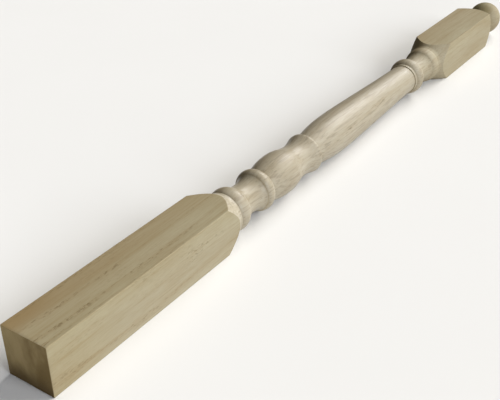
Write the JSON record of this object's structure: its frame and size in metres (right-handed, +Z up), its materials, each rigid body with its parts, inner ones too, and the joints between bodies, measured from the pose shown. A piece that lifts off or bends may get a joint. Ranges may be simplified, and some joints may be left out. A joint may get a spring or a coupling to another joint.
{
  "type": "turned newel post",
  "caption": "Turned wooden newel post with square foot and rail blocks, a vase and long swelling shaft between them, and a ball top.",
  "frame": {"origin": "on the floor under the middle of the post's length, as it lies on one flat side", "axes": "+X along the post from its foot to its ball top, +Z up from the side it lies on"},
  "size_m": [1.4628, 0.076, 0.076],
  "materials": {
    "timber": "bare, planed and turned smooth"
  },
  "bodies": {
    "root": {"turned_post": "timber"}
  },
  "joints": []
}
